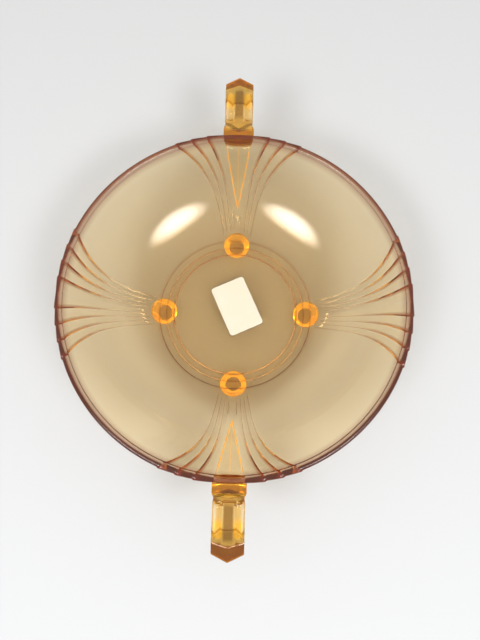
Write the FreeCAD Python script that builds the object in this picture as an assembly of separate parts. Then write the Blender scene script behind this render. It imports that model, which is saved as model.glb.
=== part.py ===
import FreeCAD, Part
import math
import os

# Footed, two-handled pressed-glass candy dish.
# Millimetres. +Z is up, the origin is on the plane the feet stand on, under the centre of the bowl.
# The handles lie along +Y (back) and -Y (front); the left and right feet lie along -X and +X.

os.makedirs("parts", exist_ok=True)

# --- bowl -----------------------------------------------------------------------------------------
RIM_INNER_R = 86.0          # inside radius of the mouth
GLASS = 3.3                 # wall thickness at the rim
RIM_Z = 46.0                # height of the rim's highest line
RIM_ROUND = GLASS / 2       # the rim is a full round
RIM_OUTER_R = RIM_INNER_R + GLASS
UNDERSIDE_Z = 5.0           # flat underside of the base
BASE_GLASS = 4.0            # thickness of the flat base
FLOOR_Z = UNDERSIDE_Z + BASE_GLASS
CREASE_R = 43.8             # where the flat underside turns up into the wall
FLOOR_R = 41.0              # where the flat inside floor ends
RING_INNER_R = 35.6         # raised ring under the base
RING_OUTER_R = 39.0
RING_DROP = 0.7             # how far the ring stands below the underside

# the four control points of the outside of the wall, from the crease to the rim, as (radius, height)
WALL_OUTSIDE = [(CREASE_R, UNDERSIDE_Z + 0.6), (68.85, 14.4), (77.7, 28.3),
                (RIM_OUTER_R, RIM_Z - RIM_ROUND)]

# --- fans of flutes -------------------------------------------------------------------------------
FANS = 4
LINES_EACH_SIDE = 4         # lines either side of a fan's middle line: nine lines, eight flutes
FAN_HALF_ANGLE = 22.5       # at the rim
FAN_FOOT_ANGLE = 9.8        # half angle beside the foot
FAN_CURVE = 3.8             # how late the lines swing outwards
LINE_START_R = 50.0
LINE_END_R = 87.6
LINE_DEPTH = 0.5            # step of each flute line into the outside of the wall
LINE_WIDTH = 1.1

# --- feet -----------------------------------------------------------------------------------------
FOOT_CIRCLE_R = 41.0        # feet stand on this radius
FOOT_R = 7.5                # widest, where a foot meets the base
FOOT_FLAT_R = 4.3           # flat that touches the table
FOOT_SLOPE_Z = 4.2          # the sides slope outwards up to this height

# --- handles --------------------------------------------------------------------------------------
HANDLE_W = 15.0
COLLAR_W = 16.3             # widest, beside the rim
COLLAR_END_Y = 93.6
SHOULDER_Y = 95.4           # the top steps up here
SHOULDER_LOW_Z = 43.9
SHOULDER_HIGH_Z = 46.6
PROW_Y = 122.6              # tip of the pointed outer end
PROW_Z = 50.3
PROW_CORNER_Y = 119.3       # side corners of the pointed end
TAIL_TIP_Y = 60.5           # lower tip of the tapering tail on the wall
TAIL_TIP_Z = 13.2
TAIL_W = 13.4               # width of the tail where it reaches the rim
KEEL_X = 2.4                # outside this the under side slopes up to the sides
ROOF_DROP = 1.3             # the top falls this much from its middle line to each side
CHEVRON_Y = 115.8           # sloping end facets start here at the middle line
CHEVRON_SIDE_Y = 113.9      # and here at the sides
FACET_FOOT_Z = 46.9         # and run down to this height at the tip
SCOOP_R = 2.3               # long scoops along both sides of the top
SCOOP_X = 4.8
SCOOP_DEPTH = 1.5
SCOOP_START_Y = 99.0
SCOOP_END_Y = 110.4

# --- paper label ----------------------------------------------------------------------------------
LABEL_W = 20.0
LABEL_L = 30.0
LABEL_T = 0.2
LABEL_CORNER = 1.7
LABEL_X = 1.0
LABEL_Y = 3.5
LABEL_TURN = 24.6           # degrees anticlockwise from +Y

Z_AXIS = FreeCAD.Vector(0, 0, 1)
ORIGIN = FreeCAD.Vector(0, 0, 0)


def side_point(radius, height):
    """A point of a turned profile, drawn in the XZ plane."""
    return FreeCAD.Vector(radius, 0, height)


def spline(points, closed=False):
    """A smooth curve through the given points."""
    curve = Part.BSplineCurve()
    curve.interpolate(Points=points, PeriodicFlag=closed)
    return curve


def outside_curve():
    """The outside of the wall as one smooth curve from the crease to the rim."""
    curve = Part.BezierCurve()
    curve.setPoles([side_point(r, z) for r, z in WALL_OUTSIDE])
    return curve


def wall_height(radius):
    """Height of the outside of the wall at a radius."""
    curve = outside_curve()
    low, high = curve.FirstParameter, curve.LastParameter
    for _ in range(50):
        middle = (low + high) / 2
        if curve.value(middle).x < radius:
            low = middle
        else:
            high = middle
    return curve.value((low + high) / 2).z


def inside_points():
    """The inside of the wall: the outside moved in by the glass, thickening towards the base."""
    curve = outside_curve()
    points = []
    steps = 7
    for i in range(steps):
        share = i / (steps - 1)
        at = curve.LastParameter + (curve.FirstParameter - curve.LastParameter) * 0.86 * share
        place, along = curve.value(at), curve.tangent(at)[0]
        normal = FreeCAD.Vector(-along.z, 0, along.x)
        if normal.x > 0:
            normal = normal * -1
        thickness = GLASS + (BASE_GLASS - GLASS) * share
        points.append(place + normal * thickness)
    points[0] = side_point(RIM_INNER_R, RIM_Z - RIM_ROUND)
    return points


def base_edges():
    """Underside of the base with its raised ring, from the axis out to the crease."""
    low = UNDERSIDE_Z - RING_DROP
    corners = [side_point(0, UNDERSIDE_Z), side_point(RING_INNER_R - 0.7, UNDERSIDE_Z),
               side_point(RING_INNER_R, low), side_point(RING_OUTER_R, low),
               side_point(RING_OUTER_R + 0.7, UNDERSIDE_Z), side_point(CREASE_R - 0.6, UNDERSIDE_Z),
               side_point(CREASE_R, UNDERSIDE_Z + 0.6)]
    return [Part.makeLine(a, b) for a, b in zip(corners, corners[1:])]


def bowl_outside_solid():
    """Everything inside the outer surface of the bowl, filled up to the rim."""
    rim_side = side_point(RIM_OUTER_R, RIM_Z - RIM_ROUND)
    top = side_point(RIM_OUTER_R, RIM_Z)
    axis_top = side_point(0, RIM_Z)
    edges = base_edges() + [outside_curve().toShape(), Part.makeLine(rim_side, top),
                            Part.makeLine(top, axis_top),
                            Part.makeLine(axis_top, side_point(0, UNDERSIDE_Z))]
    return Part.Face(Part.Wire(edges)).revolve(ORIGIN, Z_AXIS, 360)


def bowl_turned():
    """The plain bowl: base, wall and rounded rim."""
    rim_out = side_point(RIM_OUTER_R, RIM_Z - RIM_ROUND)
    rim_top = side_point(RIM_INNER_R + RIM_ROUND, RIM_Z)
    rim_in = side_point(RIM_INNER_R, RIM_Z - RIM_ROUND)
    inside = inside_points()
    floor_edge = side_point(FLOOR_R, FLOOR_Z)
    inside_wall = spline(inside + [floor_edge])
    edges = base_edges() + [outside_curve().toShape(), Part.Arc(rim_out, rim_top, rim_in).toShape(),
                            inside_wall.toShape(), Part.makeLine(floor_edge, side_point(0, FLOOR_Z)),
                            Part.makeLine(side_point(0, FLOOR_Z), side_point(0, UNDERSIDE_Z))]
    return Part.Face(Part.Wire(edges)).revolve(ORIGIN, Z_AXIS, 360)


def fan_angle(line, radius):
    """Angle of a flute line from the middle of its fan."""
    share = (radius - FOOT_CIRCLE_R) / (RIM_OUTER_R - FOOT_CIRCLE_R)
    half = FAN_FOOT_ANGLE + (FAN_HALF_ANGLE - FAN_FOOT_ANGLE) * share ** FAN_CURVE
    return half * line / LINES_EACH_SIDE


def flute_line(line, end_radius):
    """One narrow step that runs up the outside of the wall."""
    points = []
    steps = 8
    for i in range(steps):
        radius = LINE_START_R + (end_radius - LINE_START_R) * i / (steps - 1)
        turn = math.radians(fan_angle(line, radius))
        points.append(FreeCAD.Vector(radius * math.cos(turn), radius * math.sin(turn),
                                     wall_height(radius)))
    path = spline(points)
    start, along = path.value(path.FirstParameter), path.tangent(path.FirstParameter)[0]
    outward = FreeCAD.Vector(along.z, 0, -along.x)
    outward.normalize()
    sideways = along.cross(outward)
    corners = [start + sideways * (LINE_WIDTH / 2) + outward * 0.3,
               start - sideways * (LINE_WIDTH / 2) + outward * 0.3,
               start - outward * LINE_DEPTH]
    section = Part.makePolygon(corners + [corners[0]])
    return Part.Wire([path.toShape()]).makePipeShell([section], True, False)


def make_bowl():
    """The bowl with the four fans of flute lines pressed into the outside of its wall."""
    bowl = bowl_turned()
    cuts = []
    for fan in range(FANS):
        behind_handle = fan % 2 == 1
        for line in range(-LINES_EACH_SIDE, LINES_EACH_SIDE + 1):
            covered = behind_handle and line == 0
            cut = flute_line(line, TAIL_TIP_Y - 1.5 if covered else LINE_END_R)
            cut.rotate(ORIGIN, Z_AXIS, fan * 360 / FANS)
            cuts.append(cut)
    return bowl.cut(cuts)


def make_foot(turn):
    """A short cone with a flat under it; its top takes the shape of the bowl it stands under."""
    join_z = UNDERSIDE_Z + 6
    corners = [side_point(0, 0), side_point(FOOT_FLAT_R, 0), side_point(FOOT_R, FOOT_SLOPE_Z),
               side_point(FOOT_R, join_z), side_point(0, join_z), side_point(0, 0)]
    foot = Part.Face(Part.makePolygon(corners)).revolve(ORIGIN, Z_AXIS, 360)
    foot.translate(FreeCAD.Vector(FOOT_CIRCLE_R, 0, 0))
    foot.rotate(ORIGIN, Z_AXIS, turn)
    return largest_solid(foot.cut(bowl_outside_solid()))


def largest_solid(shape):
    return max(shape.Solids, key=lambda solid: solid.Volume)


def under_lift(y):
    """How much higher the under side of the handle is at its sides than along its middle."""
    share = min(max((y - 84.0) / 8.0, 0.0), 1.0)
    return min(0.9, (y - TAIL_TIP_Y) * 0.2) + 1.5 * share


def handle_outline(x, lift):
    """Outline of the handle from the side, in the plane X = x, with its under side lifted or not."""
    def at(y, z):
        return FreeCAD.Vector(x, y, z)
    corners = [at(TAIL_TIP_Y, TAIL_TIP_Z), at(TAIL_TIP_Y, SHOULDER_LOW_Z), at(COLLAR_END_Y, SHOULDER_LOW_Z),
               at(SHOULDER_Y, SHOULDER_HIGH_Z), at(PROW_Y, PROW_Z)]
    low = [(122.1, 44.6), (119.4, 37.6), (114.2, 31.4), (107.8, 27.8), (101.5, 27.0), (96.5, 29.0),
           (92.6, 33.2), (90.0, 37.0), (87.6, 38.6), (85.0, 36.5), (81.5, 31.8), (75.5, 24.5), (67.3, 16.8)]
    under = spline([corners[-1]] + [at(y, z + lift * under_lift(y)) for y, z in low] + [corners[0]])
    return Part.Wire([Part.makeLine(a, b) for a, b in zip(corners, corners[1:])] + [under.toShape()])


def gap_outline(x, flare):
    """Outline of the finger gap, in the plane X = x, opened out by the flare."""
    middle_y, middle_z = 104.2, 37.6
    rim = [(97.0, 37.2), (99.4, 41.2), (104.5, 42.3), (109.0, 42.4), (111.2, 39.8),
           (109.6, 35.6), (105.0, 33.0), (100.0, 32.7), (97.4, 34.2)]
    points = []
    for y, z in rim:
        away = math.hypot(y - middle_y, z - middle_z)
        points.append(FreeCAD.Vector(x, y + flare * (y - middle_y) / away, z + flare * (z - middle_z) / away))
    return Part.Wire([spline(points, closed=True).toShape()])


def handle_side():
    """A loop with a finger gap and a thin tail; under side and gap slope off towards both sides."""
    side = COLLAR_W / 2
    body = Part.makeLoft([handle_outline(-side, 1), handle_outline(-KEEL_X, 0),
                          handle_outline(KEEL_X, 0), handle_outline(side, 1)], True, True)
    gap = Part.makeLoft([gap_outline(-side - 1, 3.2), gap_outline(-KEEL_X, 0),
                         gap_outline(KEEL_X, 0), gap_outline(side + 1, 3.2)], True, True)
    return body.cut(gap)


def handle_plan():
    """The handle seen from above: tapering tail, collar, notch, bar and pointed end."""
    half = HANDLE_W / 2
    right = [(0, TAIL_TIP_Y), (TAIL_W / 2, RIM_INNER_R), (COLLAR_W / 2, RIM_OUTER_R),
             (COLLAR_W / 2, COLLAR_END_Y), (half - 0.4, SHOULDER_Y), (half, SHOULDER_Y + 2),
             (half, PROW_CORNER_Y), (0, PROW_Y)]
    left = [(-x, y) for x, y in reversed(right[1:-1])]
    points = [FreeCAD.Vector(x, y, 0) for x, y in right + left + [right[0]]]
    return Part.Face(Part.makePolygon(points)).extrude(FreeCAD.Vector(0, 0, RIM_Z + 20))


def top_height(x, y):
    """Height of the handle's roof-shaped top."""
    slope = (PROW_Z - SHOULDER_HIGH_Z) / (PROW_Y - SHOULDER_Y)
    return SHOULDER_HIGH_Z + slope * (y - SHOULDER_Y) - ROOF_DROP * abs(x) / (HANDLE_W / 2)


def top_point(x, y):
    return FreeCAD.Vector(x, y, top_height(x, y))


def above_plane(corner, second, third):
    """A thick plate that lies on the upper side of the plane through three points."""
    first_way, second_way = second - corner, third - corner
    first_way.normalize()
    second_way.normalize()
    upward = first_way.cross(second_way)
    upward.normalize()
    if upward.z < 0:
        upward = upward * -1
    across = first_way.cross(upward)
    reach = 60
    outline = [corner + first_way * (a * reach) + across * (b * reach)
               for a, b in ((1, 1), (-1, 1), (-1, -1), (1, -1), (1, 1))]
    return Part.Face(Part.makePolygon(outline)).extrude(upward * 30)


def roof_and_facets(side):
    """What is cut off one side of the top: the roof slope and the sloping facet of the pointed end."""
    half = side * HANDLE_W / 2
    roof = above_plane(top_point(0, SHOULDER_Y), top_point(0, PROW_Y), top_point(half, SHOULDER_Y))
    tip = FreeCAD.Vector(0, PROW_Y, FACET_FOOT_Z)
    facet = above_plane(top_point(0, CHEVRON_Y), top_point(half, CHEVRON_SIDE_Y), tip)
    return [roof, facet]


def scoop(side):
    """A long round-ended scoop beside the middle band of the handle's top."""
    lift = FreeCAD.Vector(0, 0, SCOOP_R - SCOOP_DEPTH)

    def axis_point(y):
        return top_point(side * SCOOP_X, y) + lift
    start, end = axis_point(SCOOP_START_Y), axis_point(SCOOP_END_Y)
    along = end - start
    body = Part.makeCylinder(SCOOP_R, along.Length, start, along)
    return body.fuse([Part.makeSphere(SCOOP_R, start), Part.makeSphere(SCOOP_R, end)])


def make_handle(turn):
    """One handle, cut to meet the outside of the bowl face to face."""
    body = handle_side().common(handle_plan())
    body = body.cut(bowl_outside_solid())
    for side in (1, -1):
        body = body.cut(roof_and_facets(side) + [scoop(side)])
    body = largest_solid(body)
    body.rotate(ORIGIN, Z_AXIS, turn)
    return body


def make_label():
    """A blank paper label with rounded corners, flat on the inside floor."""
    label = Part.makeBox(LABEL_W, LABEL_L, LABEL_T, FreeCAD.Vector(-LABEL_W / 2, -LABEL_L / 2, FLOOR_Z))
    upright = [edge for edge in label.Edges if abs(edge.tangentAt(edge.FirstParameter).z) > 0.9]
    label = label.makeFillet(LABEL_CORNER, upright)
    label.rotate(ORIGIN, Z_AXIS, LABEL_TURN)
    label.translate(FreeCAD.Vector(LABEL_X, LABEL_Y, 0))
    return label


def main():
    parts = {"bowl": make_bowl(), "paper_label": make_label(),
             "foot_right": make_foot(0), "foot_back": make_foot(90),
             "foot_left": make_foot(180), "foot_front": make_foot(270),
             "handle_back": make_handle(0), "handle_front": make_handle(180)}
    for name, shape in parts.items():
        shape.exportStep(os.path.join("parts", name + ".step"))
        box = shape.BoundBox
        print(name, "solids", len(shape.Solids), "valid", shape.isValid(), "volume",
              round(shape.Volume, 1), "z", round(box.ZMin, 2), round(box.ZMax, 2))


main()
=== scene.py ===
import math

import bpy
import numpy as np
from mathutils import Matrix, Vector


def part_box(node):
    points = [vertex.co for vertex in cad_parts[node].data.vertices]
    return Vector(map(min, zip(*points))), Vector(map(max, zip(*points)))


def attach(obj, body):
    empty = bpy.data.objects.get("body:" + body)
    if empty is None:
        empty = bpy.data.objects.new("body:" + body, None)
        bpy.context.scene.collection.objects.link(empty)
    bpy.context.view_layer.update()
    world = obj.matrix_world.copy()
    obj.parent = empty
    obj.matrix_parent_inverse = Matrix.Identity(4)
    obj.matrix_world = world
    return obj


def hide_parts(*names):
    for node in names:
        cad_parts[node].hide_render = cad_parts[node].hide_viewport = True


bl_info = {
    "name": "Footed glass candy dish",
    "version": (1, 0, 0),
    "blender": (4, 5, 0),
    "location": "View3D > Sidebar > Candy dish",
    "description": "Builds a two-handled pressed-glass candy dish with its paper label and a plain stage",
    "category": "Object",
}

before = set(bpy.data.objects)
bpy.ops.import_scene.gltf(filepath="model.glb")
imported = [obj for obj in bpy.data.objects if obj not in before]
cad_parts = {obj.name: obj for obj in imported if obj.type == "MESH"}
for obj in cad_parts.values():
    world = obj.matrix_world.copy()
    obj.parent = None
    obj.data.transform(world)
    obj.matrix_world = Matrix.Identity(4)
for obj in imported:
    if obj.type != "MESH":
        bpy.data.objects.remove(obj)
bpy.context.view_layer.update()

MM = 0.001
LABEL_LOW, LABEL_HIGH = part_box("paper_label")

# All lengths below are in millimetres.
RIM_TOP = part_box("bowl")[1][2] / MM
RIM_OUTSIDE = 89.3          # outer radius of the rim
FLOOR_TOP = LABEL_LOW[2] / MM
UNDERSIDE = 5.0             # height of the flat underside
FLUTE_COUNT = 64            # flutes that would fit round the whole rim
COLUMNS_PER_FLUTE = 9
FLUTE_ANGLE = 2 * math.pi / FLUTE_COUNT
FAN_EDGE = math.radians(22.5)       # half a fan at the rim
FAN_FOOT, FAN_SPREAD = 9.8, 12.7    # degrees in half a fan beside its foot, and what the rim adds
QUARTER_TURN = math.radians(90)
FOOT_CIRCLE = 41.0          # the feet stand on this radius
FOOT_TOP = 4.6              # a foot's section ends here and is then fitted to the bowl

# The back handle, from its tail on the wall out to its tip.
TAIL_TIP, TAIL_TOP, TAIL_HALF = 60.5, 86.0, 6.7     # along, along, and half its width at the top
SHOULDER, SHOULDER_TOP = 95.4, 46.6                 # where the flat top starts, and its height
HALF_WIDTH, ROOF_SLOPE, ROOF_DROP = 7.5, 0.136, 1.3
CHEVRON, CHEVRON_SWEEP = 115.8, 1.9                 # start of the sloping end, and how far its sides lag
TIP, TIP_SWEEP = 122.6, 3.3
COLLAR_SWEEP = 0.34                                 # slant of the chevron beside the collar

CAMERA_PLACE = (0.002877, -0.060394, 0.230669)      # metres, above the middle of the rim's top
CAMERA_TILT, CAMERA_TURN = math.radians(11.75), math.radians(1.35)


# --- settings ---------------------------------------------------------------------------------------

class BowlSettings(bpy.types.PropertyGroup):
    mouth_radius: bpy.props.FloatProperty(
        name="Mouth radius", description="Inside radius of the mouth in millimetres", default=86.0, min=1)
    glass: bpy.props.FloatProperty(
        name="Wall", description="Glass thickness at the rim in millimetres", default=3.3, min=0.5)
    base_glass: bpy.props.FloatProperty(
        name="Base", description="Glass thickness of the base in millimetres", default=4.0, min=0.5)
    crease_radius: bpy.props.FloatProperty(
        name="Crease radius", description="Where the flat underside turns up, in millimetres", default=43.8)
    ring_inner: bpy.props.FloatProperty(
        name="Ring inside", description="Inner radius of the ring under the base in millimetres",
        default=35.6)
    ring_outer: bpy.props.FloatProperty(
        name="Ring outside", description="Outer radius of the ring under the base in millimetres",
        default=39.0)
    ring_drop: bpy.props.FloatProperty(
        name="Ring height", description="How far the ring stands down in millimetres", default=0.7)
    flute_height: bpy.props.FloatProperty(
        name="Flute step", description="Height of each flute's step at the rim in millimetres", default=1.1)


def tint_property(name, description, default):
    return bpy.props.FloatVectorProperty(name=name, description=description, subtype="COLOR", size=3,
                                         default=default, min=0, max=1)


def loss_property(name, description, default):
    return bpy.props.FloatVectorProperty(name=name, description=description, size=3, default=default, min=0)


class GlassSettings(bpy.types.PropertyGroup):
    bowl_loss: loss_property("Bowl depth", "Red, green and blue taken out per metre of the bowl",
                             (3, 44, 145))
    handle_loss: loss_property("Handle depth", "Red, green and blue taken out per metre of a handle",
                               (32, 60, 160))
    foot_loss: loss_property("Foot depth", "Red, green and blue taken out per metre of a foot", (2, 34, 220))
    # Painted light and shade: each tint colours its painted places, each glow adds emission there in place of
    # light that the glass would carry, and the handle shade darkens a handle's middle
    rim_tint: tint_property("Rim tint", "Tint of the rim and of the flutes' steps", (0.13, 0.035, 0.022))
    rim_glow: tint_property("Rim glow", "Light gathered in the rim and the steps", (0.09, 0.018, 0.006))
    handle_tint: tint_property("Handle tint", "Tint of a handle's tail edges and scoops", (1.0, 0.70, 0.14))
    handle_glow: tint_property("Handle glow", "Light gathered in a handle's scoops", (0.28, 0.135, 0.005))
    handle_shade: tint_property("Handle shade", "Tint of a handle's thick middle", (0.15, 0.085, 0.04))
    foot_tint: tint_property("Foot tint", "Tint of a foot's sloping side", (1.0, 0.74, 0.10))
    foot_glow: tint_property("Foot glow", "Light gathered in a foot's sloping side", (0.28, 0.15, 0.001))
    gloss_roughness: bpy.props.FloatProperty(
        name="Roughness", description="Roughness of the fire-polished surface", default=0.018, min=0, max=1)


class HandleSettings(bpy.types.PropertyGroup):
    softness: bpy.props.IntProperty(
        name="Softness", description="How often the edges are relaxed", default=3, min=0, max=40)
    grain: bpy.props.FloatProperty(
        name="Mesh size", description="Mesh size in millimetres", default=0.30, min=0.1)


class FootSettings(bpy.types.PropertyGroup):
    circle: bpy.props.FloatProperty(
        name="Circle", description="Radius in millimetres of the circle that the feet stand on",
        default=FOOT_CIRCLE)
    widest: bpy.props.FloatProperty(
        name="Widest", description="Radius of a foot where it meets the base, in millimetres", default=7.5)
    flat: bpy.props.FloatProperty(
        name="Flat", description="Radius of the flat that stands on the table, in millimetres", default=4.3)
    slope_height: bpy.props.FloatProperty(
        name="Slope", description="How high the sloping side reaches, in millimetres", default=4.2)


class LabelSettings(bpy.types.PropertyGroup):
    paper: bpy.props.FloatVectorProperty(
        name="Paper", description="Colour of the paper", subtype="COLOR", size=3, default=(0.74, 0.71, 0.60),
        min=0, max=1)
    turn: bpy.props.FloatProperty(
        name="Turn", description="How far the label is turned", default=math.radians(24.6), subtype="ANGLE")
    width: bpy.props.FloatProperty(name="Width", description="Width in millimetres", default=20.0)
    length: bpy.props.FloatProperty(name="Length", description="Length in millimetres", default=30.0)


class StageSettings(bpy.types.PropertyGroup):
    floor: bpy.props.FloatVectorProperty(
        name="Floor", description="Colour of the floor", subtype="COLOR", size=3, default=(0.60, 0.62, 0.65),
        min=0, max=1)
    ceiling: bpy.props.FloatProperty(
        name="Ceiling", description="Strength of the soft light from above", default=0.88, min=0)
    walls: bpy.props.FloatProperty(
        name="Walls", description="Strength of the soft light from the sides", default=0.42, min=0)
    lens: bpy.props.FloatProperty(
        name="Lens", description="Focal length of the camera in millimetres", default=27.0, min=1)


# --- small tools ------------------------------------------------------------------------------------

def deselect_everything():
    if bpy.context.object is not None and bpy.context.object.mode != "OBJECT":
        bpy.ops.object.mode_set(mode="OBJECT")
    bpy.ops.object.select_all(action="DESELECT")


def only(piece):
    """Select one object and make it active."""
    deselect_everything()
    piece.select_set(True)
    bpy.context.view_layer.objects.active = piece


def points_of(piece):
    flat = np.empty(len(piece.data.vertices) * 3)
    piece.data.vertices.foreach_get("co", flat)
    return flat.reshape(-1, 3)


def place_points(piece, points):
    piece.data.vertices.foreach_set("co", np.ascontiguousarray(points).ravel())
    piece.data.update()


def use_modifier(piece, kind, **values):
    """Add a modifier, set it and apply it."""
    only(piece)
    modifier = piece.modifiers.new(kind.title(), kind)
    for key, value in values.items():
        setattr(modifier, key, value)
    bpy.ops.object.modifier_apply(modifier=modifier.name)


def paint(piece, values, name):
    """Store a value from 0 to 1 at each point, for the material to read by its name."""
    layer = piece.data.attributes.new(name=name, type="FLOAT", domain="POINT")
    layer.data.foreach_set("value", np.clip(values, 0, 1).astype(np.float32))


def smooth_from(lower, upper, value):
    share = np.clip((np.asarray(value, float) - lower) / (upper - lower), 0, 1)
    return share * share * (3 - 2 * share)


def finish_piece(piece, name, material, nodes):
    """Name a finished mesh, give it its material and tie it to the frame."""
    piece.name = name
    piece.data.name = name
    piece.data.materials.clear()
    piece.data.materials.append(material)
    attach(piece, "root")
    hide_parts(*nodes)


# --- the bowl's section -----------------------------------------------------------------------------

def wall_outside(settings, shares):
    """Radius and height along the outside of the wall, from the crease to the rim."""
    rim = settings.glass / 2
    corners = np.array([(settings.crease_radius, 5.6), (68.85, 14.4), (77.7, 28.3),
                        (settings.mouth_radius + settings.glass, RIM_TOP - rim)])
    t = np.asarray(shares)[:, None]
    return ((1 - t) ** 3 * corners[0] + 3 * (1 - t) ** 2 * t * corners[1]
            + 3 * (1 - t) * t ** 2 * corners[2] + t ** 3 * corners[3])


def left_of(points):
    """Unit normals on the left side of a line of points."""
    along = np.gradient(points, axis=0)
    along /= np.linalg.norm(along, axis=1)[:, None]
    return np.column_stack([-along[:, 1], along[:, 0]])


def underside(settings):
    """Radius and height under the base, from the middle to the crease."""
    flat = UNDERSIDE
    low = flat - settings.ring_drop
    inner, outer = settings.ring_inner, settings.ring_outer
    return np.array([(0.0, flat), (6.0, flat), (16.0, flat), (26.0, flat), (32.0, flat), (inner - 0.95, flat),
                     (inner - 0.7, flat - 0.02), (inner - 0.45, flat - 0.2), (inner - 0.15, low + 0.05),
                     (inner + 0.15, low), (inner + 1.7, low), (outer - 0.15, low), (outer + 0.15, low + 0.05),
                     (outer + 0.45, flat - 0.2), (outer + 0.7, flat - 0.02), (outer + 0.95, flat),
                     (outer + 2.2, flat), (settings.crease_radius - 0.8, flat),
                     (settings.crease_radius - 0.35, flat + 0.15)])


def bowl_section(settings):
    """The closed section of the bowl and, for each point, how far it belongs to the outside."""
    outside = wall_outside(settings, np.linspace(0, 1, 50))
    rim_radius = settings.glass / 2
    centre = np.array([settings.mouth_radius + rim_radius, RIM_TOP - rim_radius])
    turns = np.linspace(0, math.pi, 15)[1:-1]
    rim = centre + rim_radius * np.column_stack([np.cos(turns), np.sin(turns)])
    shares = np.linspace(1, 0.16, 30)
    line = wall_outside(settings, np.linspace(0, 1, 400))
    normals = left_of(line)
    picked = np.clip((shares * 399).round().astype(int), 0, 399)
    thickness = settings.glass + (settings.base_glass - settings.glass) * (1 - shares)
    inside = line[picked] + normals[picked] * thickness[:, None]
    inside[0] = (settings.mouth_radius, RIM_TOP - rim_radius)
    start, end = inside[-1], np.array([39.0, FLOOR_TOP])
    along = inside[-1] - inside[-2]
    along = along / np.linalg.norm(along)
    t = np.linspace(0, 1, 10)[1:, None]
    reach = np.linalg.norm(end - start) / 2.6
    first, second = start + along * reach, end + np.array([reach, 0.0])
    turn_in = ((1 - t) ** 3 * start + 3 * (1 - t) ** 2 * t * first
               + 3 * (1 - t) * t ** 2 * second + t ** 3 * end)
    floor = np.array([(30.0, FLOOR_TOP), (20.0, FLOOR_TOP), (10.0, FLOOR_TOP), (0.0, FLOOR_TOP)])
    section = np.vstack([underside(settings), outside, rim, inside, turn_in, floor])
    outer_share = np.zeros(len(section))
    count = len(underside(settings)) + len(outside)
    outer_share[:count] = 1.0
    outer_share[count:count + len(rim)] = 1 - smooth_from(0.15, 0.85, turns / math.pi)
    return section, outer_share


def outer_skin(settings):
    """A fine line along the outer surface with its outward normals, to fit other pieces to it."""
    rim_radius = settings.glass / 2
    centre = np.array([settings.mouth_radius + rim_radius, RIM_TOP - rim_radius])
    turns = np.linspace(0, math.pi / 2, 60)[1:]
    line = np.vstack([underside(settings)[4:], wall_outside(settings, np.linspace(0, 1, 900)),
                      centre + rim_radius * np.column_stack([np.cos(turns), np.sin(turns)])])
    steps = np.linalg.norm(np.diff(line, axis=0), axis=1)
    distance = np.concatenate([[0], np.cumsum(steps)])
    even = np.linspace(0, distance[-1], 1500)
    line = np.column_stack([np.interp(even, distance, line[:, 0]), np.interp(even, distance, line[:, 1])])
    return line, -left_of(line)


# --- flutes -----------------------------------------------------------------------------------------

def fan_half_angle(radius):
    """Half the angle of a fan of flutes at a radius."""
    share = np.clip((radius - FOOT_CIRCLE) / (RIM_OUTSIDE - FOOT_CIRCLE), 0, 1)
    return np.radians(FAN_FOOT + FAN_SPREAD * share ** 3.8)


def flute_steps():
    """Where the columns of one flute stand, crowded at its step."""
    return np.array([0.0, 0.045, 0.09, 0.19, 0.34, 0.50, 0.67, 0.83, 0.95])


def nearest_rows(radius, rise, section):
    """For each point, the number of the section's nearest point."""
    rows = np.empty(len(radius), int)
    for start in range(0, len(radius), 4000):
        chunk = slice(start, start + 4000)
        gap = ((radius[chunk, None] - section[None, :, 0]) ** 2
               + (rise[chunk, None] - section[None, :, 1]) ** 2)
        rows[chunk] = gap.argmin(axis=1)
    return rows


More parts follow.
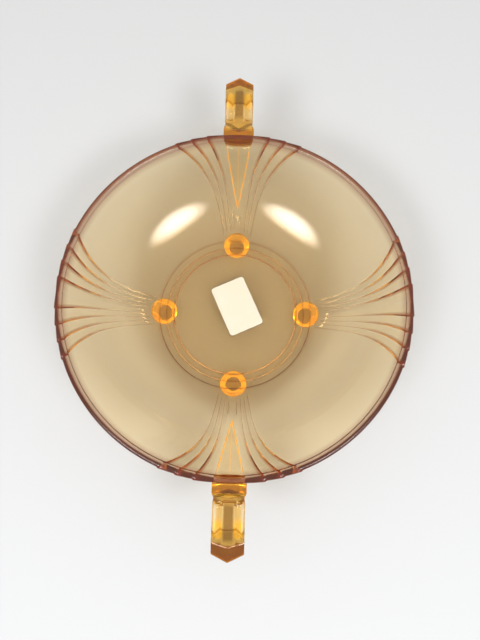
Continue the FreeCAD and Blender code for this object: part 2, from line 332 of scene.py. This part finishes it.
def press_flutes(piece, settings):
    """Turn the plain turned bowl into one with four fans of stepped, curving flutes outside."""
    section, outer_share = bowl_section(settings)
    points = points_of(piece) / MM
    radius = np.hypot(points[:, 0], points[:, 1])
    angle = np.arctan2(points[:, 1], points[:, 0])
    row = nearest_rows(radius, points[:, 2], section)
    belongs = outer_share[row]

    # which flute of which fan each column of points is in, and how far across it
    column = np.rint(angle / (FLUTE_ANGLE / COLUMNS_PER_FLUTE)).astype(int)
    flutes = np.floor_divide(column, COLUMNS_PER_FLUTE)
    within = column - flutes * COLUMNS_PER_FLUTE
    quarter = FLUTE_COUNT // 4
    fan = np.rint((flutes + 0.5) / quarter).astype(int)
    number = flutes - fan * quarter
    in_fan = (number >= -4) & (number <= 3)
    steps = flute_steps()
    mirrored = np.concatenate([[0.0], 1 - steps[::-1]])
    rising = number < 0
    share_in = np.where(rising, steps[within], mirrored[within])

    # the columns narrow towards the foot and crowd at each flute's step
    at_rim = np.where(in_fan, (number + share_in) * FLUTE_ANGLE,
                      (number + within / COLUMNS_PER_FLUTE) * FLUTE_ANGLE)
    half = fan_half_angle(radius)
    rest = QUARTER_TURN - 2 * half
    beyond = np.abs(at_rim) - FAN_EDGE
    warped = np.where(np.abs(at_rim) <= FAN_EDGE + 1e-9, at_rim * half / FAN_EDGE,
                      np.sign(at_rim) * (half + beyond * rest / (2 * FAN_EDGE)))
    plain = (number + within / COLUMNS_PER_FLUTE) * FLUTE_ANGLE
    blend = belongs * smooth_from(30.0, 44.0, radius)
    local = plain * (1 - blend) + warped * blend
    turned = fan * QUARTER_TURN + local

    # each flute stands out from its step and falls away to the next, clear of the foot and the tail
    from_step = np.where(rising, share_in, 1 - share_in)
    tooth = smooth_from(0.0, 0.09, from_step) * (1 - from_step) ** 1.15
    tooth = np.where(in_fan, tooth, 0.0)
    away = np.hypot(radius * np.cos(local) - FOOT_CIRCLE, radius * np.sin(local))
    near_foot = smooth_from(9.6, 11.6, away)
    up_wall = 0.68 + 0.32 * smooth_from(50, 88, radius)
    under_handle = (fan % 2 == 1) & (number >= -1) & (number <= 0)
    covered = np.where(under_handle, 1 - smooth_from(55.0, 59.0, radius), 1.0)
    at_edge = 1 - 0.55 * smooth_from(RIM_TOP - 4.0, RIM_TOP - 1.2, points[:, 2])
    height = settings.flute_height * tooth * near_foot * up_wall * covered * belongs * at_edge
    height = np.where(radius > 44.5, height, 0.0)
    normal = -left_of(section)[row]
    radius = radius + height * normal[:, 0]
    rise = points[:, 2] + height * normal[:, 1]
    place_points(piece, np.column_stack([radius * np.cos(turned), radius * np.sin(turned), rise]) * MM)
    # Painted shade and glow for the rim, the flutes' steps, the ring and the crease
    shown = in_fan * near_foot * covered * belongs
    paint(piece, bowl_painted_glow(settings, radius, rise, from_step, shown), "deep")


def bowl_painted_glow(settings, radius, rise, from_step, shown):
    """Painted shade and glow at the rim, on the steps of the flutes, at the ring's sides and in the crease.
    """
    beside = 0.75 * smooth_from(62, 78, radius)
    on_step = np.where(from_step < 0.1, smooth_from(-0.02, 0.03, from_step),
                       np.where(from_step < 0.2, beside, 0))
    on_step = on_step * shown * (radius > 46)
    streaks = np.maximum(smooth_from(62, 84, radius), 0.5 * (1 - smooth_from(50, 62, radius)))
    on_rim = smooth_from(RIM_TOP - 3.2, RIM_TOP - 1.6, rise) * (0.7 + 0.3 * smooth_from(86.4, 87.2, radius))
    sides = [settings.ring_inner - 0.35, settings.ring_outer + 0.35]
    on_ring = 0.55 * sum(1 - smooth_from(0.25, 0.7, np.abs(radius - side)) for side in sides)
    in_crease = 0.4 * (1 - smooth_from(0.3, 0.9, np.abs(radius - settings.crease_radius)))
    below = (on_ring + in_crease) * (rise < UNDERSIDE + 1.2)
    return np.maximum(np.maximum(on_rim, below), on_step * (0.35 + 0.6 * streaks))


# --- materials --------------------------------------------------------------------------------------

def surface_marks():
    """Shared group: slow waves of pressed glass, fine mould marks and patches left by hands."""
    group = bpy.data.node_groups.get("surface_marks")
    if group is not None:
        return group
    group = bpy.data.node_groups.new("surface_marks", "ShaderNodeTree")
    sockets = group.interface
    for name, default in (("Wave Size", 60.0), ("Mark Size", 900.0), ("Hand Size", 35.0),
                          ("Plain Roughness", 0.012), ("Handled Roughness", 0.05)):
        socket = sockets.new_socket(name=name, in_out="INPUT", socket_type="NodeSocketFloat")
        socket.default_value = default
    sockets.new_socket(name="Height", in_out="OUTPUT", socket_type="NodeSocketFloat")
    sockets.new_socket(name="Roughness", in_out="OUTPUT", socket_type="NodeSocketFloat")
    nodes, links = group.nodes, group.links
    given, result = nodes.new("NodeGroupInput"), nodes.new("NodeGroupOutput")
    where = nodes.new("ShaderNodeTexCoord")
    waves, marks, hands = (nodes.new("ShaderNodeTexNoise") for _ in range(3))
    for noise, size, detail in ((waves, "Wave Size", 1.0), (marks, "Mark Size", 2.0),
                                (hands, "Hand Size", 4.0)):
        noise.inputs["Detail"].default_value = detail
        links.new(where.outputs["Object"], noise.inputs["Vector"])
        links.new(given.outputs[size], noise.inputs["Scale"])
    faint = nodes.new("ShaderNodeMath")
    faint.operation = "MULTIPLY_ADD"
    faint.inputs[1].default_value = 0.06
    links.new(marks.outputs["Fac"], faint.inputs[0])
    links.new(waves.outputs["Fac"], faint.inputs[2])
    links.new(faint.outputs[0], result.inputs["Height"])
    patch = nodes.new("ShaderNodeMapRange")
    patch.interpolation_type = "SMOOTHSTEP"
    patch.inputs["From Min"].default_value = 0.52
    patch.inputs["From Max"].default_value = 0.72
    links.new(hands.outputs["Fac"], patch.inputs["Value"])
    links.new(given.outputs["Plain Roughness"], patch.inputs["To Min"])
    links.new(given.outputs["Handled Roughness"], patch.inputs["To Max"])
    links.new(patch.outputs["Result"], result.inputs["Roughness"])
    return group


def deep_edges():
    """Shared group: where painted glow is marked the colour takes a tint and glows, where painted shade is
    marked it is only darker.
    """
    group = bpy.data.node_groups.get("deep_edges")
    if group is not None:
        return group
    group = bpy.data.node_groups.new("deep_edges", "ShaderNodeTree")
    for name, default in (("Clear", (1.0, 0.985, 0.965, 1)), ("Tint", (1, 1, 1, 1)), ("Glow", (0, 0, 0, 1)),
                          ("Shade", (1, 1, 1, 1))):
        socket = group.interface.new_socket(name=name, in_out="INPUT", socket_type="NodeSocketColor")
        socket.default_value = default
    for name in ("Color", "Glow"):
        group.interface.new_socket(name=name, in_out="OUTPUT", socket_type="NodeSocketColor")
    nodes, links = group.nodes, group.links
    given, result = nodes.new("NodeGroupInput"), nodes.new("NodeGroupOutput")
    deep = nodes.new("ShaderNodeAttribute")
    deep.attribute_name = "deep"
    for output, first, second in (("Color", "Clear", "Tint"), ("Glow", None, "Glow")):
        mixed = nodes.new("ShaderNodeMix")
        mixed.data_type = "RGBA"
        mixed.inputs["A"].default_value = (0, 0, 0, 1)
        links.new(deep.outputs["Fac"], mixed.inputs["Factor"])
        if first:
            links.new(given.outputs[first], mixed.inputs["A"])
        links.new(given.outputs[second], mixed.inputs["B"])
        if output == "Color":
            shade, shaded = nodes.new("ShaderNodeAttribute"), nodes.new("ShaderNodeMix")
            shade.attribute_name = "shade"
            shaded.data_type = "RGBA"
            links.new(shade.outputs["Fac"], shaded.inputs["Factor"])
            links.new(mixed.outputs["Result"], shaded.inputs["A"])
            links.new(given.outputs["Shade"], shaded.inputs["B"])
            mixed = shaded
        links.new(mixed.outputs["Result"], result.inputs[output])
    return group


def peach_glass(kind, settings, wave_size, wave_height):
    """Clear glass that takes out blue and some green by its depth, with a painted tint, painted shade and
    painted glow at its edges.
    """
    lost = getattr(settings, kind + "_loss")
    edge = "rim" if kind == "bowl" else kind
    material = bpy.data.materials.new(kind + "_glass")
    material.use_nodes = True
    nodes, links = material.node_tree.nodes, material.node_tree.links
    nodes.clear()
    output = nodes.new("ShaderNodeOutputMaterial")
    shader = nodes.new("ShaderNodeBsdfPrincipled")
    shader.inputs["Transmission Weight"].default_value = 1.0
    shader.inputs["IOR"].default_value = 1.5
    shader.inputs["Metallic"].default_value = 0.0
    # The emission is painted glow; its colour comes from the painted marks
    shader.inputs["Emission Strength"].default_value = 1.0
    glow_and_shade = nodes.new("ShaderNodeGroup")
    glow_and_shade.node_tree = deep_edges()
    glow_and_shade.inputs["Tint"].default_value = (*getattr(settings, edge + "_tint"), 1)
    glow_and_shade.inputs["Glow"].default_value = (*getattr(settings, edge + "_glow"), 1)
    glow_and_shade.inputs["Shade"].default_value = (*settings.handle_shade, 1)
    links.new(glow_and_shade.outputs["Color"], shader.inputs["Base Color"])
    links.new(glow_and_shade.outputs["Glow"], shader.inputs["Emission Color"])
    marks = nodes.new("ShaderNodeGroup")
    marks.node_tree = surface_marks()
    marks.inputs["Wave Size"].default_value = wave_size
    marks.inputs["Plain Roughness"].default_value = settings.gloss_roughness
    marks.inputs["Handled Roughness"].default_value = settings.gloss_roughness * 3
    bump = nodes.new("ShaderNodeBump")
    bump.inputs["Strength"].default_value = 1.0
    bump.inputs["Distance"].default_value = wave_height
    links.new(marks.outputs["Height"], bump.inputs["Height"])
    links.new(marks.outputs["Roughness"], shader.inputs["Roughness"])
    links.new(bump.outputs["Normal"], shader.inputs["Normal"])
    depth = nodes.new("ShaderNodeVolumeAbsorption")
    strongest = max(lost) / 0.9
    depth.inputs["Color"].default_value = (*[1 - value / strongest for value in lost], 1)
    depth.inputs["Density"].default_value = strongest
    links.new(shader.outputs["BSDF"], output.inputs["Surface"])
    links.new(depth.outputs["Volume"], output.inputs["Volume"])
    return material


def label_paper(settings):
    """Matt cream paper with fibres and slightly yellowed blotches."""
    material = bpy.data.materials.new("label_paper")
    material.use_nodes = True
    nodes, links = material.node_tree.nodes, material.node_tree.links
    shader = nodes["Principled BSDF"]
    where = nodes.new("ShaderNodeTexCoord")
    fibres, blotches = nodes.new("ShaderNodeTexNoise"), nodes.new("ShaderNodeTexNoise")
    fibres.inputs["Scale"].default_value = 2200
    fibres.inputs["Detail"].default_value = 3
    blotches.inputs["Scale"].default_value = 90
    for noise in (fibres, blotches):
        links.new(where.outputs["Object"], noise.inputs["Vector"])
    tone = nodes.new("ShaderNodeMix")
    tone.data_type = "RGBA"
    tone.inputs["A"].default_value = (*settings.paper, 1)
    tone.inputs["B"].default_value = (*[c * k for c, k in zip(settings.paper, (0.96, 0.93, 0.84))], 1)
    links.new(blotches.outputs["Fac"], tone.inputs["Factor"])
    links.new(tone.outputs["Result"], shader.inputs["Base Color"])
    shader.inputs["Roughness"].default_value = 0.75
    bump = nodes.new("ShaderNodeBump")
    bump.inputs["Distance"].default_value = 0.00006
    links.new(fibres.outputs["Fac"], bump.inputs["Height"])
    links.new(bump.outputs["Normal"], shader.inputs["Normal"])
    return material


def plain_material(name, colour, roughness):
    material = bpy.data.materials.new(name)
    material.use_nodes = True
    shader = material.node_tree.nodes["Principled BSDF"]
    shader.inputs["Base Color"].default_value = (*colour, 1)
    shader.inputs["Roughness"].default_value = roughness
    return material


# --- operators --------------------------------------------------------------------------------------

class DISH_OT_bowl(bpy.types.Operator):
    """Spin the section of the bowl round its axis and press the flutes into its outside"""
    bl_idname = "dish.bowl"
    bl_label = "Bowl"

    def execute(self, context):
        settings = context.scene.dish_bowl
        section, _ = bowl_section(settings)
        deselect_everything()
        bpy.ops.mesh.primitive_plane_add(size=0.001, location=(0, 0, 0))
        piece = context.object
        bpy.ops.object.mode_set(mode="EDIT")
        bpy.ops.mesh.merge(type="CENTER")
        bpy.ops.transform.translate(value=(section[0][0] * MM, 0, section[0][1] * MM))
        for before, after in zip(section, section[1:]):
            move = (after - before) * MM
            bpy.ops.mesh.extrude_region_move(
                TRANSFORM_OT_translate={"value": (float(move[0]), 0, float(move[1]))})
        bpy.ops.mesh.select_all(action="SELECT")
        bpy.ops.mesh.spin(steps=FLUTE_COUNT * COLUMNS_PER_FLUTE, angle=2 * math.pi, center=(0, 0, 0),
                          axis=(0, 0, 1))
        bpy.ops.mesh.select_all(action="SELECT")
        bpy.ops.mesh.remove_doubles(threshold=0.000001)
        bpy.ops.mesh.normals_make_consistent(inside=False)
        bpy.ops.object.mode_set(mode="OBJECT")
        press_flutes(piece, settings)
        only(piece)
        bpy.ops.object.shade_smooth_by_angle(angle=math.radians(24))
        glass = peach_glass("bowl", context.scene.dish_glass, wave_size=28.0, wave_height=0.00005)
        finish_piece(piece, "bowl_pressed", glass, ["bowl"])
        return {"FINISHED"}


def copy_of_node(node):
    """A merged copy of a CAD node's mesh in an object of its own."""
    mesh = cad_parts[node].data.copy()
    piece = bpy.data.objects.new(node + "_copy", mesh)
    bpy.context.scene.collection.objects.link(piece)
    only(piece)
    bpy.ops.object.mode_set(mode="EDIT")
    bpy.ops.mesh.select_all(action="SELECT")
    bpy.ops.mesh.remove_doubles(threshold=0.000002)
    bpy.ops.mesh.normals_make_consistent(inside=False)
    bpy.ops.object.mode_set(mode="OBJECT")
    return piece


def melt_edges(piece, grain, softness):
    """Soften every edge the way fire-polished glass is soft."""
    use_modifier(piece, "REMESH", mode="VOXEL", voxel_size=grain * MM, adaptivity=0.0)
    use_modifier(piece, "SMOOTH", factor=0.5, iterations=softness)


def seat_on_bowl(piece, settings, reach=0.3, into=0.08):
    """Press the faces against the bowl a hair into its glass, so that light goes straight through."""
    line, outward = outer_skin(settings)
    points = points_of(piece) / MM
    radius = np.hypot(points[:, 0], points[:, 1])
    for start in range(0, len(points), 3000):
        chunk = slice(start, start + 3000)
        gap = (radius[chunk, None] - line[None, :, 0]) ** 2 + (points[chunk, 2, None] - line[None, :, 1]) ** 2
        nearest = gap.argmin(axis=1)
        off = np.column_stack([radius[chunk], points[chunk, 2]]) - line[nearest]
        above = (off * outward[nearest]).sum(axis=1)
        away = np.sqrt(gap.min(axis=1))
        pull = (away < reach) & (above < reach)
        goal = line[nearest] - outward[nearest] * into
        new_radius = np.where(pull, goal[:, 0], radius[chunk])
        scale = new_radius / np.maximum(radius[chunk], 1e-6)
        points[chunk, 0] *= scale
        points[chunk, 1] *= scale
        points[chunk, 2] = np.where(pull, goal[:, 1], points[chunk, 2])
    place_points(piece, points * MM)


def turned_copy(piece, degrees):
    """A copy of a piece with its own mesh, turned about the bowl's axis."""
    copy = piece.copy()
    copy.data = piece.data.copy()
    bpy.context.scene.collection.objects.link(copy)
    copy.data.transform(Matrix.Rotation(math.radians(degrees), 4, "Z"))
    return copy


class DISH_OT_handles(bpy.types.Operator):
    """Soften the loop handle and set one at the back and one at the front"""
    bl_idname = "dish.handles"
    bl_label = "Handles"

    def execute(self, context):
        settings = context.scene.dish_handle
        back = copy_of_node("handle_back")
        melt_edges(back, settings.grain, settings.softness)
        seat_on_bowl(back, context.scene.dish_bowl)
        # Painted glow and tint on the tail, loop, collar, chevron, tip and scoop ends, and painted shade in
        # the middle and beside the collar
        paint(back, self.painted_glow_of(back), "deep")
        paint(back, self.shade_of(back), "shade")
        only(back)
        bpy.ops.object.shade_smooth_by_angle(angle=math.radians(50))
        front = turned_copy(back, 180)
        glass = peach_glass("handle", context.scene.dish_glass, wave_size=60.0, wave_height=0.00004)
        finish_piece(back, "handle_back_pressed", glass, ["handle_back"])
        finish_piece(front, "handle_front_pressed", glass, ["handle_front"])
        return {"FINISHED"}

    def painted_glow_of(self, piece):
        """Painted glow along the tail, a little over the loop, more at its collar, chevron, tip and scoop
        ends.
        """
        points = points_of(piece) / MM
        across, along, height = np.abs(points[:, 0]), points[:, 1], points[:, 2]
        edge = TAIL_HALF * (along - TAIL_TIP) / (TAIL_TOP - TAIL_TIP)
        tail = (1 - smooth_from(0.3, 0.95, edge - across)) * (1 - smooth_from(84, 87, along))
        seam_glint = 0.4 * (1 - smooth_from(0.1, 0.3, across)) * smooth_from(66, 70, along)
        seam_glint = seam_glint * (1 - smooth_from(85, 87, along))
        roof = SHOULDER_TOP + ROOF_SLOPE * (along - SHOULDER) - ROOF_DROP * across / HALF_WIDTH
        scoop = smooth_from(0.15, 0.8, roof - height) * (across < 6.6) * (height > 44) * (along < 113.2)
        from_chevron = np.abs(along - CHEVRON + CHEVRON_SWEEP * across / HALF_WIDTH)
        chevron = 1 - smooth_from(0.15, 0.45, from_chevron)
        from_tip = TIP - TIP_SWEEP * across / HALF_WIDTH - along
        point = 1 - smooth_from(0.5, 1.2, from_tip)
        slant = COLLAR_SWEEP * across
        collar = smooth_from(88.6, 89.4, along) * (1 - smooth_from(91.2 + slant, 91.8 + slant, along))
        on_top = np.maximum(0.75 * chevron, 0.9 * collar) * (height > 40)
        loop = 0.2 * smooth_from(89.5, 91.5, along)
        edges = np.maximum(np.maximum(tail, seam_glint), np.maximum(on_top, np.maximum(0.6 * point, loop)))
        return np.maximum(edges, scoop * smooth_from(102, 107, along))

    def shade_of(self, piece):
        """Painted shade along the thick middle between the scoops and in a chevron beside the collar."""
        points = points_of(piece) / MM
        across, along, height = np.abs(points[:, 0]), points[:, 1], points[:, 2]
        middle = (1 - smooth_from(1.7, 2.7, across)) * smooth_from(96.5, 99.5, along)
        middle = middle * (1 - smooth_from(112.0, 114.6, along))
        chevron = 1 - smooth_from(0.4, 0.8, np.abs(along - 93.0 - COLLAR_SWEEP * across))
        return np.maximum(0.9 * middle, 0.85 * chevron) * (height > 43.5)


class DISH_OT_feet(bpy.types.Operator):
    """Spin the tapered foot and set four of them round the base"""
    bl_idname = "dish.feet"
    bl_label = "Feet"

    def execute(self, context):
        settings = context.scene.dish_foot
        right = self.spun_foot(context)
        self.fit_top(right, settings.slope_height, context.scene.dish_bowl)
        # Painted glow and golden tint on the foot's sloping side, and a weaker painted glow on its flat
        points = points_of(right) / MM
        reach = np.hypot(points[:, 0] - settings.circle, points[:, 1])
        side = smooth_from(settings.flat - 0.05, settings.flat + 0.25, reach)
        paint(right, (0.28 + 0.72 * side) * (points[:, 2] < settings.slope_height + 0.1), "deep")
        only(right)
        bpy.ops.object.shade_smooth_by_angle(angle=math.radians(35))
        glass = peach_glass("foot", context.scene.dish_glass, wave_size=90.0, wave_height=0.00003)
        pieces = [("right", right)] + [(name, turned_copy(right, turn)) for name, turn in
                                       (("back", 90), ("left", 180), ("front", 270))]
        for name, piece in pieces:
            finish_piece(piece, "foot_" + name + "_pressed", glass, ["foot_" + name])
        return {"FINISHED"}

    def spun_foot(self, context):
        """One foot spun about its own middle, which stands on the circle of feet."""
        settings = context.scene.dish_foot
        widest, flat, slope = settings.widest, settings.flat, settings.slope_height
        dip = 0.1           # the middle of the flat is hollow by this much
        section = [(0, dip), (flat * 0.5, dip), (flat - 0.5, dip), (flat - 0.3, 0.02), (flat, 0.0),
                   (flat + 0.12, 0.08)]
        section += [(flat + (widest - flat) * k + 0.5 * k * (1 - k), slope * k)
                    for k in (0.1, 0.2, 0.32, 0.44, 0.56, 0.68, 0.8, 0.9)]
        section += [(widest, slope), (widest, FOOT_TOP), (widest * 0.94, FOOT_TOP)]
        section += [(widest * k, FOOT_TOP) for k in (0.88, 0.76, 0.64, 0.52, 0.4, 0.28, 0.16)]
        section.append((0, FOOT_TOP))
        deselect_everything()
        bpy.ops.mesh.primitive_plane_add(size=0.001, location=(0, 0, 0))
        piece = context.object
        bpy.ops.object.mode_set(mode="EDIT")
        bpy.ops.mesh.merge(type="CENTER")
        bpy.ops.transform.translate(value=(settings.circle * MM, 0, section[0][1] * MM))
        for before, after in zip(section, section[1:]):
            bpy.ops.mesh.extrude_region_move(TRANSFORM_OT_translate={
                "value": ((after[0] - before[0]) * MM, 0, (after[1] - before[1]) * MM)})
        bpy.ops.mesh.select_all(action="SELECT")
        bpy.ops.mesh.spin(steps=96, angle=2 * math.pi, center=(settings.circle * MM, 0, 0), axis=(0, 0, 1))
        bpy.ops.mesh.select_all(action="SELECT")
        bpy.ops.mesh.remove_doubles(threshold=0.000001)
        bpy.ops.mesh.normals_make_consistent(inside=False)
        bpy.ops.object.mode_set(mode="OBJECT")
        return piece

    def fit_top(self, piece, slope, bowl, into=0.08):
        """Lift the top of a foot to lie a hair inside the glass of the bowl over it."""
        line, _ = outer_skin(bowl)
        points = points_of(piece) / MM
        radius = np.hypot(points[:, 0], points[:, 1])
        order = np.argsort(line[:, 0], kind="stable")
        skin = np.interp(radius, line[order, 0], line[order, 1]) + into
        share = np.clip((points[:, 2] - slope) / (FOOT_TOP - slope), 0, 1)
        points[:, 2] += share * (skin - FOOT_TOP)
        place_points(piece, points * MM)


class DISH_OT_label(bpy.types.Operator):
    """Lay the blank paper label on the inside floor"""
    bl_idname = "dish.label"
    bl_label = "Paper label"

    def execute(self, context):
        settings = context.scene.dish_label
        low, high = Vector(LABEL_LOW), Vector(LABEL_HIGH)
        deselect_everything()
        bpy.ops.mesh.primitive_plane_add(size=1, location=(0, 0, 0))
        piece = context.object
        bpy.ops.object.mode_set(mode="EDIT")
        bpy.ops.transform.resize(value=(settings.width * MM, settings.length * MM, 1))
        bpy.ops.mesh.bevel(offset=1.7 * MM, segments=6, affect="VERTICES")
        bpy.ops.mesh.inset(thickness=0.5 * MM)
        bpy.ops.mesh.select_all(action="SELECT")
        bpy.ops.mesh.quads_convert_to_tris()
        bpy.ops.mesh.subdivide(number_cuts=5)
        bpy.ops.object.mode_set(mode="OBJECT")
        points = points_of(piece)
        across, along = points[:, 0] / MM, points[:, 1] / MM
        lift = 0.03 + 0.05 * np.sin(across * 0.42 + 0.7) * np.sin(along * 0.23 + 1.1)
        corner = smooth_from(11, 17, np.hypot(across - 2, along + 2) * (across > 0) * (along < 0))
        points[:, 2] = (lift + 0.25 * corner + 0.06) * MM
        place_points(piece, points)
        use_modifier(piece, "SOLIDIFY", thickness=0.1 * MM, offset=1)
        only(piece)
        middle = (low + high) / 2
        piece.data.transform(Matrix.Translation((middle.x, middle.y, low.z))
                             @ Matrix.Rotation(settings.turn, 4, "Z"))
        bpy.ops.object.shade_smooth_by_angle(angle=math.radians(40))
        finish_piece(piece, "label_blank", label_paper(settings), ["paper_label"])
        return {"FINISHED"}


class DISH_OT_stage(bpy.types.Operator):
    """Lay the pale floor, hang the soft lights and set the camera"""
    bl_idname = "dish.stage"
    bl_label = "Floor, lights and camera"

    def execute(self, context):
        settings = context.scene.dish_stage
        deselect_everything()
        bpy.ops.mesh.primitive_plane_add(size=4, location=(0, 0, 0))
        floor = context.object
        floor.name = "floor"
        floor.data.materials.append(plain_material("pale_floor", settings.floor, 0.7))
        world = bpy.data.worlds.new("soft_room")
        world.use_nodes = True
        self.soft_room(world.node_tree, settings)
        context.scene.world = world
        self.softbox("softbox_right", (0.62, -0.65, 0.95), (0.92, 0.52), 18, (0.0, 0.0, 0.02))
        self.softbox("softbox_left", (-0.60, -0.66, 0.96), (0.92, 0.52), 18, (0.0, 0.0, 0.02))
        self.camera(context, settings)
        return {"FINISHED"}

    def soft_room(self, tree, settings):
        """Light that is strongest overhead and fades towards the horizon."""
        background = tree.nodes["Background"]
        background.inputs["Color"].default_value = (1.0, 0.955, 0.88, 1)
        where, parts = tree.nodes.new("ShaderNodeTexCoord"), tree.nodes.new("ShaderNodeSeparateXYZ")
        tree.links.new(where.outputs["Generated"], parts.inputs["Vector"])
        fade = tree.nodes.new("ShaderNodeMapRange")
        fade.interpolation_type = "SMOOTHSTEP"
        fade.inputs["From Min"].default_value = 0.2
        fade.inputs["From Max"].default_value = 0.62
        fade.inputs["To Min"].default_value = settings.walls
        fade.inputs["To Max"].default_value = settings.ceiling
        tree.links.new(parts.outputs["Z"], fade.inputs["Value"])
        tree.links.new(fade.outputs["Result"], background.inputs["Strength"])

    def softbox(self, name, place, size, watts, aim):
        light = bpy.data.lights.new(name, "AREA")
        light.shape = "ELLIPSE"
        light.use_nodes = True
        nodes, links = light.node_tree.nodes, light.node_tree.links
        where, off, fade = (nodes.new(kind) for kind in ("ShaderNodeNewGeometry", "ShaderNodeVectorMath",
                                                         "ShaderNodeMapRange"))
        off.operation = "DISTANCE"
        off.inputs[1].default_value = (0.5, 0.5, 0)
        fade.interpolation_type = "SMOOTHSTEP"
        fade.inputs["From Min"].default_value = 0.12
        fade.inputs["From Max"].default_value = 0.5
        fade.inputs["To Min"].default_value = 1.0
        fade.inputs["To Max"].default_value = 0.0
        links.new(where.outputs["Parametric"], off.inputs[0])
        links.new(off.outputs["Value"], fade.inputs["Value"])
        links.new(fade.outputs["Result"], nodes["Emission"].inputs["Strength"])
        light.size, light.size_y = size
        light.energy = watts
        lamp = bpy.data.objects.new(name, light)
        bpy.context.scene.collection.objects.link(lamp)
        lamp.location = place
        lamp.rotation_euler = (Vector(aim) - Vector(place)).to_track_quat("-Z", "Y").to_euler()

    def camera(self, context, settings):
        data = bpy.data.cameras.new("camera")
        data.lens = settings.lens
        data.sensor_width = 36
        data.clip_start = 0.01
        camera = bpy.data.objects.new("camera", data)
        context.scene.collection.objects.link(camera)
        place = Vector(CAMERA_PLACE) + Vector((0, 0, RIM_TOP * MM))
        camera.matrix_world = (Matrix.Rotation(CAMERA_TURN, 4, "Z") @ Matrix.Translation(place)
                               @ Matrix.Rotation(CAMERA_TILT, 4, "X"))
        context.scene.camera = camera
        context.scene.view_settings.view_transform = "Standard"


# --- panel ------------------------------------------------------------------------------------------

class DISH_PT_panel(bpy.types.Panel):
    """Lists the pieces of the dish"""
    bl_idname = "DISH_PT_panel"
    bl_label = "Candy dish"
    bl_space_type = "VIEW_3D"
    bl_region_type = "UI"
    bl_category = "Candy dish"

    def draw(self, context):
        for operator, settings in BUILD_ORDER:
            box = self.layout.box()
            box.operator(operator.bl_idname)
            group = getattr(context.scene, settings)
            for key in group.__annotations__:
                box.prop(group, key)


BUILD_ORDER = [(DISH_OT_bowl, "dish_bowl"), (DISH_OT_handles, "dish_handle"), (DISH_OT_feet, "dish_foot"),
               (DISH_OT_label, "dish_label"), (DISH_OT_stage, "dish_stage")]
SETTINGS = {"dish_bowl": BowlSettings, "dish_glass": GlassSettings, "dish_handle": HandleSettings,
            "dish_foot": FootSettings, "dish_label": LabelSettings, "dish_stage": StageSettings}
CLASSES = (*SETTINGS.values(), DISH_OT_bowl, DISH_OT_handles, DISH_OT_feet, DISH_OT_label, DISH_OT_stage,
           DISH_PT_panel)


def register():
    for each in CLASSES:
        bpy.utils.register_class(each)
    for name, group in SETTINGS.items():
        setattr(bpy.types.Scene, name, bpy.props.PointerProperty(type=group))


def unregister():
    for name in SETTINGS:
        delattr(bpy.types.Scene, name)
    for each in reversed(CLASSES):
        bpy.utils.unregister_class(each)


def main():
    register()
    bpy.ops.dish.bowl()
    bpy.ops.dish.handles()
    bpy.ops.dish.feet()
    bpy.ops.dish.label()
    bpy.ops.dish.stage()


if __name__ == "__main__":
    main()
